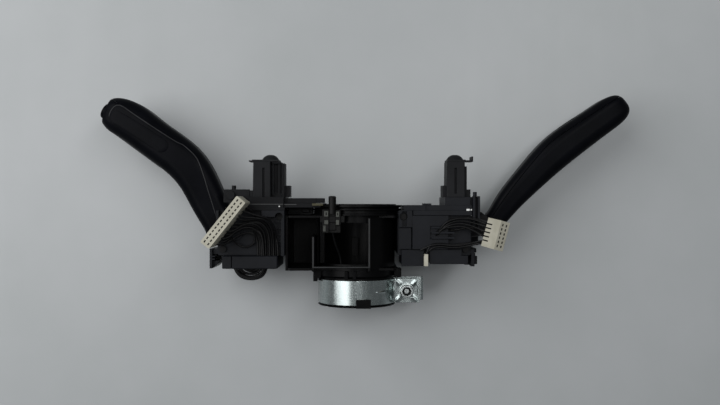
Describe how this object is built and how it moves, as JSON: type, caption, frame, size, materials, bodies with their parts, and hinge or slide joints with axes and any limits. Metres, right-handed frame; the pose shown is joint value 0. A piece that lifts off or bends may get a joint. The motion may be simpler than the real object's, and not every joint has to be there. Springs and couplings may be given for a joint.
{
  "type": "combination stalk switch",
  "caption": "Steering column switch carrier with a ring clamp, a turn signal stalk and a wiper stalk, cancel ring, trim posts and short leads to plugs.",
  "frame": {"origin": "middle of the column clamp bore, on the column axis", "axes": "+Y along the column towards the steering wheel, +X towards the wiper side, +Z out of the wiring side"},
  "size_m": [0.3369, 0.1326, 0.073],
  "materials": {
    "zinc_steel": "zinc plated, bright",
    "cream_nylon": "natural nylon",
    "stalk_plastic": "fine grained satin black",
    "board_laminate": "glass laminate",
    "black_rubber": "soft black",
    "black_plastic": "moulded black"
  },
  "bodies": {
    "carrier": {"clamp_collar": "black_plastic", "clamp_band": "zinc_steel", "clamp_screw": "zinc_steel", "clamp_nut": "zinc_steel", "carrier_frame": "black_plastic", "front_ring": "black_plastic", "left_case": "black_plastic", "left_cover": "black_plastic", "left_lower_block": "black_plastic", "left_latch": "black_plastic", "left_front_plate": "black_plastic", "left_tower": "black_plastic", "left_tower_cap": "black_plastic", "left_plug": "cream_nylon", "left_contact_board": "board_laminate", "left_detent_track": "black_plastic", "right_case": "black_plastic", "right_cover": "black_plastic", "right_plug_block": "black_plastic", "right_terminal_insert": "cream_nylon", "right_lower_block": "black_plastic", "right_latch": "black_plastic", "right_front_plate": "black_plastic", "right_tower": "black_plastic", "right_tower_cap": "black_plastic", "right_plug": "cream_nylon", "right_contact_board": "board_laminate", "right_detent_track": "black_plastic", "lid_screw_set": "zinc_steel", "lock_lamp_plug": "black_plastic", "left_lead_1": "black_rubber", "left_lead_2": "black_rubber", "left_lead_3": "black_rubber", "left_lead_4": "black_rubber", "left_lead_5": "black_rubber", "right_lead_1": "black_rubber", "right_lead_2": "black_rubber", "right_lead_3": "black_rubber", "lock_lamp_lead": "black_rubber", "harness_loop": "black_rubber"},
    "cancel_rotor": {"cancel_ring": "black_plastic"},
    "turn_rocker": {"left_rocker": "black_plastic", "left_pivot_pin": "zinc_steel", "left_detent_plunger": "cream_nylon", "left_detent_spring": "zinc_steel"},
    "turn_stalk": {"left_arm": "black_plastic", "left_rear_shell": "stalk_plastic", "left_front_shell": "stalk_plastic"},
    "turn_button": {"left_end_button": "stalk_plastic"},
    "wiper_rocker": {"right_rocker": "black_plastic", "right_pivot_pin": "zinc_steel", "right_detent_plunger": "cream_nylon", "right_detent_spring": "zinc_steel"},
    "wiper_stalk": {"right_arm": "black_plastic", "right_rear_shell": "stalk_plastic", "right_front_shell": "stalk_plastic", "right_root_boot": "black_rubber"},
    "interval_slider": {"right_interval_slider": "stalk_plastic"}
  },
  "joints": [
    {"name": "cancel_ring_turn", "type": "hinge", "parent": "carrier", "child": "cancel_rotor", "pos_m": [0, 0.0505, 0], "axis": [0, 1, 0], "continuous": true},
    {"name": "turn_signal", "type": "hinge", "parent": "carrier", "child": "turn_rocker", "pos_m": [-0.07, 0.037, 0], "axis": [0, 1, 0], "range_deg": [-8, 8]},
    {"name": "headlamp_flash", "type": "hinge", "parent": "turn_rocker", "child": "turn_stalk", "pos_m": [-0.07, 0.037, 0], "axis": [0, 0, 1], "range_deg": [-6, 5], "stiffness_Nm_per_rad": 1.5},
    {"name": "end_button", "type": "slide", "parent": "turn_stalk", "child": "turn_button", "axis": [0.88, -0.475, 0], "range_m": [0, 0.0016], "stiffness_N_per_m": 600},
    {"name": "wiper_speed", "type": "hinge", "parent": "carrier", "child": "wiper_rocker", "pos_m": [0.061, 0.038, 0], "axis": [0, 1, 0], "range_deg": [-8, 23]},
    {"name": "washer_pull", "type": "hinge", "parent": "wiper_rocker", "child": "wiper_stalk", "pos_m": [0.061, 0.038, 0], "axis": [0, 0, 1], "range_deg": [0, 6], "stiffness_Nm_per_rad": 1.5},
    {"name": "interval_adjust", "type": "slide", "parent": "wiper_stalk", "child": "interval_slider", "axis": [0.8299, 0.5579, 0], "range_m": [-0.004, 0.004]}
  ]
}
